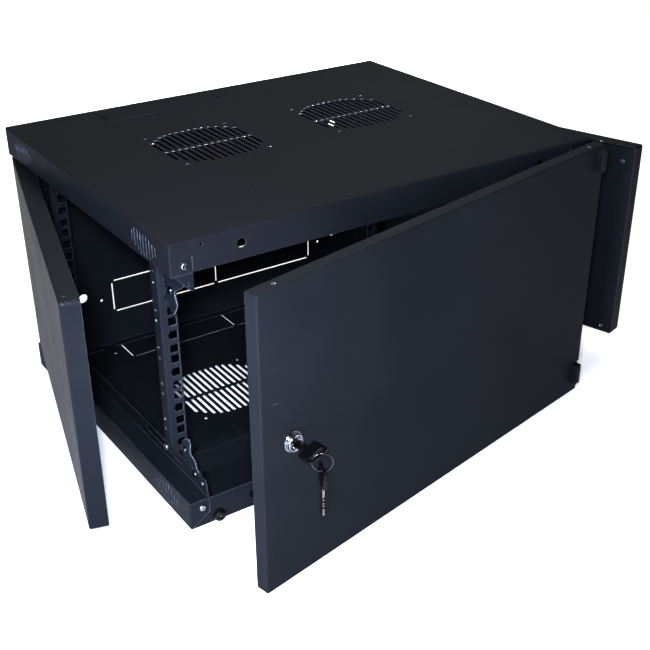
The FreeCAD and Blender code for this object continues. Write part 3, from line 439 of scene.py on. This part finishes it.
# painted highlight on the side vents: a glint line along one side of each slot and a half ring at its lower end
bm = bmesh.new()
VENT_LO = [11.0, 7.4, 6.6, 7.0, 8.0, 8.2, 9.6, 11.6, 12.4]
VENT_HI = [22.8, 25.6, 28.2, 30.0, 30.8, 30.6, 29.0, 25.2, 22.2]
for side in (-1, 1):
    for yc, way in ((-161.0, -1), (163.0, 1)):
        for i in range(9):
            y = (yc + (i - 4) * 6.3 * way) / 1000
            for z0, z1 in ((VENT_LO[i] / 1000, VENT_HI[i] / 1000), (0.327 - VENT_HI[i] / 1000, 0.327 - VENT_LO[i] / 1000)):
                x = side * 0.26975
                r = 0.00135
                glint_ring((x, y, z0 + 0.0014), (1, 0, 0), r, 0.00024, (0, 0, -1))
                tube(bm, [Vector((x, y + r, z0 + 0.0016)), Vector((x, y + r, (z0 + z1) / 2)), Vector((x, y + r, z1 - 0.0016))], 0.00015, False, 6)
vent_glints = add_piece("vent_glints", bm, "soft_glint")
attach(vent_glints, "cabinet")


def about(x, y, degrees):
    return Matrix.Translation((x, y, 0)) @ Matrix.Rotation(math.radians(degrees), 4, "Z") @ Matrix.Translation((-x, -y, 0))


# the same painted highlight rings round the holes of the door's upper lip and the panels' front lips
for name, body, move, spots in (
        ("door_rims", "door", about(0.2732, -0.228, 11.9), [((0.2465, -0.2285, 0.32475), (0, 0, 1), 0.0019), ((-0.242, -0.2285, 0.32475), (0, 0, 1), 0.0019)]),
        ("right_panel_rims", "right_side_panel", about(0.262, 0.203, 16.5), [((0.25, -0.198, z), (1, 0, 0), 0.0021) for z in (0.043, 0.271)]),
        ("left_panel_rims", "left_side_panel", about(-0.262, 0.203, -14.5), [((-0.25, -0.198, z), (1, 0, 0), 0.0021) for z in (0.043, 0.271)])):
    bm = bmesh.new()
    for c, n, r in spots:
        glint_ring(c, n, r)
    bmesh.ops.transform(bm, matrix=move, verts=bm.verts)
    piece = add_piece(name, bm, "bright_glint")
    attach(piece, body)

# the brass screw down in the bumper's hole, with a domed head
bm = bmesh.new()
SIDES = 20
prof = [(1.72, 0.0), (1.72, 0.55), (1.5, 0.95), (1.05, 1.22), (0.5, 1.34)]
rows = [[bm.verts.new((-0.2365 + r * 0.001 * math.cos(2 * math.pi * k / SIDES), -0.2182 - h * 0.001, 0.0074 + r * 0.001 * math.sin(2 * math.pi * k / SIDES)))
         for k in range(SIDES)] for r, h in prof]
for r0, r1 in zip(rows, rows[1:]):
    for k in range(SIDES):
        bm.faces.new((r0[k], r0[(k + 1) % SIDES], r1[(k + 1) % SIDES], r1[k]))
tip = bm.verts.new((-0.2365, -0.2182 - 0.00112, 0.0074))
for k in range(SIDES):
    bm.faces.new((rows[-1][k], rows[-1][(k + 1) % SIDES], tip))
bm.faces.new(rows[0])
bmesh.ops.recalc_face_normals(bm, faces=bm.faces)
bumper_screw = add_piece("bumper_screw", bm, "brass_screw")
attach(bumper_screw, "cabinet")

# ------------------------------------------------------------ floor, lights
fm = bmesh.new()
bmesh.ops.create_grid(fm, x_segments=2, y_segments=2, size=9.0)
floor_mesh = bpy.data.meshes.new("floor")
fm.to_mesh(floor_mesh)
fm.free()
floor = bpy.data.objects.new("floor", floor_mesh)
scene.collection.objects.link(floor)
fs = Shader("pale_floor")
fs.link(fs.mix(fs.ramp(fs.noise(2.0, 3.0), 0.35, 0.65), (0.82, 0.80, 0.77), (0.85, 0.83, 0.80)), fs.bsdf.inputs["Base Color"])
fs.set(Roughness=0.75, Specular_IOR_Level=0.2)
floor_mesh.materials.append(fs.mat)

world = bpy.data.worlds.new("world")
scene.world = world
world.use_nodes = True
bg = world.node_tree.nodes["Background"]
bg.inputs["Color"].default_value = (0.93, 0.95, 1.0, 1.0)
bg.inputs["Strength"].default_value = 0.10


def area(name, at, to, size, power, colour):
    d = bpy.data.lights.new(name, "AREA")
    d.shape = "RECTANGLE"
    d.size, d.size_y = size
    d.energy = power
    d.color = colour
    o = bpy.data.objects.new(name, d)
    scene.collection.objects.link(o)
    o.location = at
    o.rotation_euler = (Vector(to) - Vector(at)).to_track_quat("-Z", "Y").to_euler()
    return o


MIDDLE = (0.0, -0.05, 0.14)
area("key", (-0.705, -1.075, 0.795), MIDDLE, (0.14, 0.12), 25.0, (0.90, 0.98, 1.16))
area("low_left", (-1.5, -1.0, 0.35), MIDDLE, (0.5, 0.4), 36.0, (0.90, 0.98, 1.16))
area("overhead", (0.7, 1.3, 2.2), (0.7, 1.3, 0.0), (3.2, 3.0), 40.0, (1.0, 0.975, 0.945))
area("far_floor", (1.0, 2.3, 1.8), (1.0, 1.9, 0.0), (4.0, 1.0), 38.0, (1.0, 0.985, 0.965))
area("right_fill", (1.5, -1.6, 0.7), MIDDLE, (1.0, 0.7), 7.0, (1.0, 0.86, 0.70))
area("back_fill", (1.0, 1.8, 0.16), (0.0, 0.2, 0.16), (1.2, 0.24), 46.0, (0.98, 0.99, 1.02))
sp = bpy.data.lights.new("opening", "SPOT")
sp.energy = 60.0
sp.color = (0.90, 0.98, 1.14)
sp.spot_size = math.radians(22.0)
sp.spot_blend = 1.0
sp.shadow_soft_size = 0.06
spot = bpy.data.objects.new("opening", sp)
scene.collection.objects.link(spot)
spot.location = (-0.705, -1.085, 0.795)
spot.rotation_euler = (Vector((-0.215, -0.16, 0.14)) - Vector(spot.location)).to_track_quat("-Z", "Y").to_euler()
